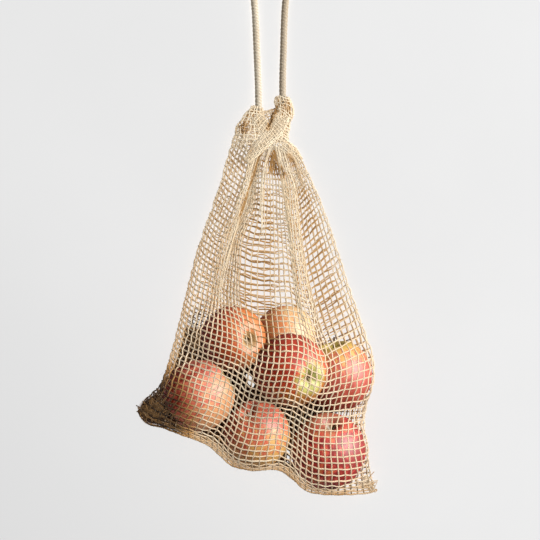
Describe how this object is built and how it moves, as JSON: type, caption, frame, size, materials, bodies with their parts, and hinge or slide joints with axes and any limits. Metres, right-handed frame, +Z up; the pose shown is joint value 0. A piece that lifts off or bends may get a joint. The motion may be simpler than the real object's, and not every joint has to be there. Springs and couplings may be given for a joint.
{
  "type": "jute produce bag",
  "caption": "Open-mesh jute produce bag, drawn shut by a cord through its gathered neck, bulging round the fruit inside and lying on its back.",
  "frame": {"origin": "centre of the bag's box, without the drawstring, at the height of the surface that it lies on", "axes": "+Z up, out of the side that shows; +Y from the bottom seam to the gathered neck; +X to the right of the side that shows"},
  "size_m": [0.243, 0.5291, 0.1271],
  "materials": {
    "jute_net": "matte",
    "cotton_cord": "matte"
  },
  "bodies": {
    "root": {"net_bag": "jute_net", "drawstring": "cotton_cord"}
  },
  "joints": []
}
